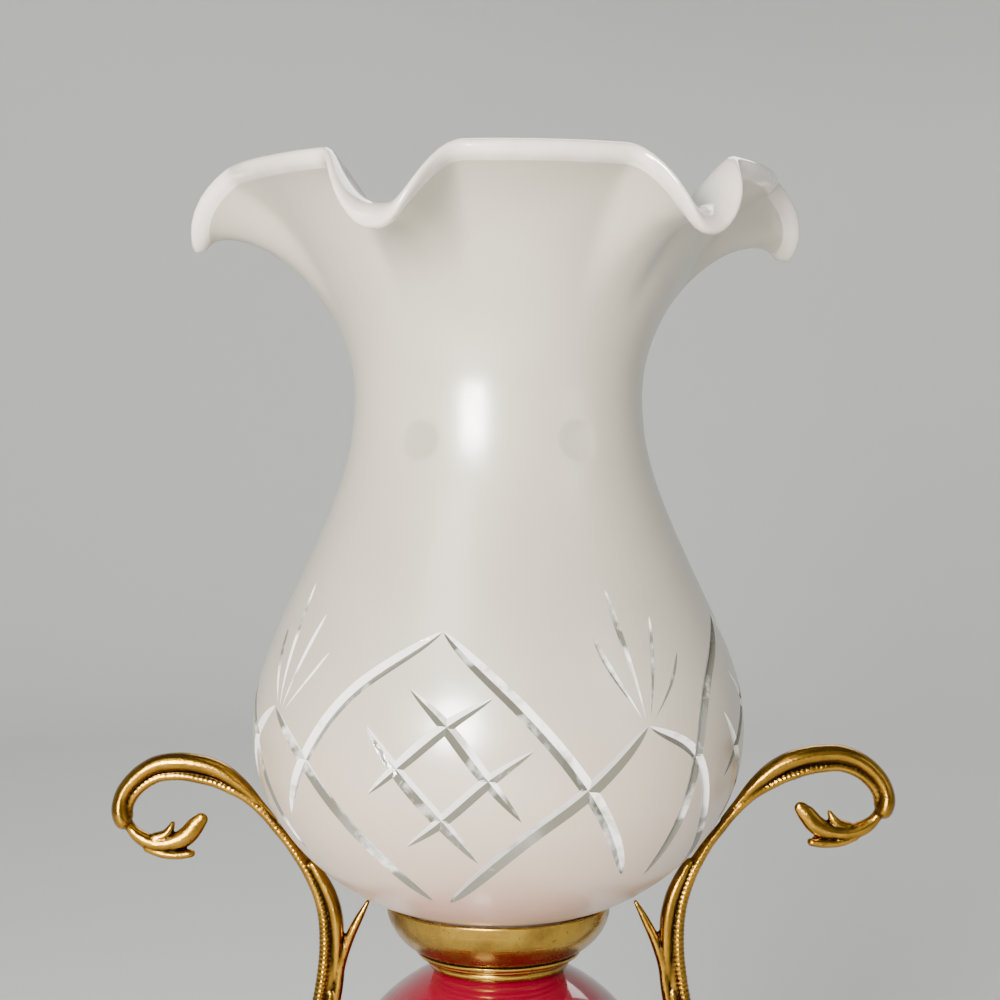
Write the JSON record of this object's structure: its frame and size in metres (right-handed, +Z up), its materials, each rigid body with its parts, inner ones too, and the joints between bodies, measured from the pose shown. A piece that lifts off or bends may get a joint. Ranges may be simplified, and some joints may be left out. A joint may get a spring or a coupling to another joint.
{
  "type": "oil lamp",
  "caption": "Flat-wick oil lamp with a ruffled frosted glass shade, a round red glass font, a turned brass foot and a pair of scrolled handles.",
  "frame": {"origin": "centre of the underside of the felt, on the surface that the lamp stands on", "axes": "+Z up, +X towards the right handle, -Y the front; the wick knob is at the back, towards +Y"},
  "size_m": [0.2059, 0.1518, 0.3992],
  "materials": {
    "antique_brass": "spun brass with a brown patina, satin",
    "cast_brass": "cast brass, worn bright on the ridges and dark in the grooves",
    "burner_brass": "plain pressed brass, lightly tarnished",
    "frosted_glass": "satin-etched white glass with clear wheel-cut lines and a fire-polished rim",
    "red_glass": "opaque crimson glass, glossy",
    "steel": "plain steel",
    "cast_iron": "rough casting",
    "green_felt": "green baize felt",
    "plaster": "plaster cement",
    "cork": "pressed cork",
    "cotton_wick": "flat woven cotton, scorched at the top"
  },
  "bodies": {
    "base": {"felt_pad": "green_felt", "base_foot": "antique_brass", "ballast_disc": "cast_iron", "base_nut": "steel", "base_washer": "steel", "spacer_tube": "steel", "tie_rod": "steel", "stem_baluster": "antique_brass", "stem_knop": "antique_brass", "stem_ring": "antique_brass", "handle_bracket": "antique_brass", "handle_screws": "antique_brass", "handle_left": "cast_brass", "handle_right": "cast_brass", "font_cradle": "antique_brass", "cradle_nut": "steel", "font_cement": "plaster", "font": "red_glass", "font_collar": "antique_brass", "burner_gasket": "cork"},
    "burner": {"gallery_cup": "antique_brass", "shaft_bush": "antique_brass", "shade_seat": "antique_brass", "burner_barrel": "antique_brass", "wick_tube": "burner_brass", "vent_tube": "burner_brass", "air_diffuser": "burner_brass"},
    "cone": {"flame_cone": "burner_brass"},
    "wick": {"wick": "cotton_wick"},
    "wick_raiser": {"wick_shaft": "steel", "wick_wheels": "steel", "wick_knob": "antique_brass"},
    "shade": {"shade": "frosted_glass"}
  },
  "joints": [
    {"name": "burner_turn", "type": "hinge", "parent": "base", "child": "burner", "pos_m": [0, 0, 0.1976], "axis": [0, 0, 1], "range_deg": [0, 40]},
    {"name": "knob_turn", "type": "hinge", "parent": "burner", "child": "wick_raiser", "pos_m": [0.0037, 0, 0.2015], "axis": [0, 1, 0], "range_deg": [-99, 308]},
    {"name": "wick_rise", "type": "slide", "parent": "burner", "child": "wick", "axis": [0, 0, 1], "range_m": [-0.0045, 0.014]},
    {"name": "cone_lift", "type": "slide", "parent": "burner", "child": "cone", "axis": [0, 0, 1], "range_m": [0, 0.016]},
    {"name": "shade_lift", "type": "slide", "parent": "burner", "child": "shade", "axis": [0, 0, 1], "range_m": [0, 0.12]}
  ],
  "couplings": [
    {"joint": "wick_rise", "follows": "knob_turn", "m_per_rad": 0.0026}
  ]
}
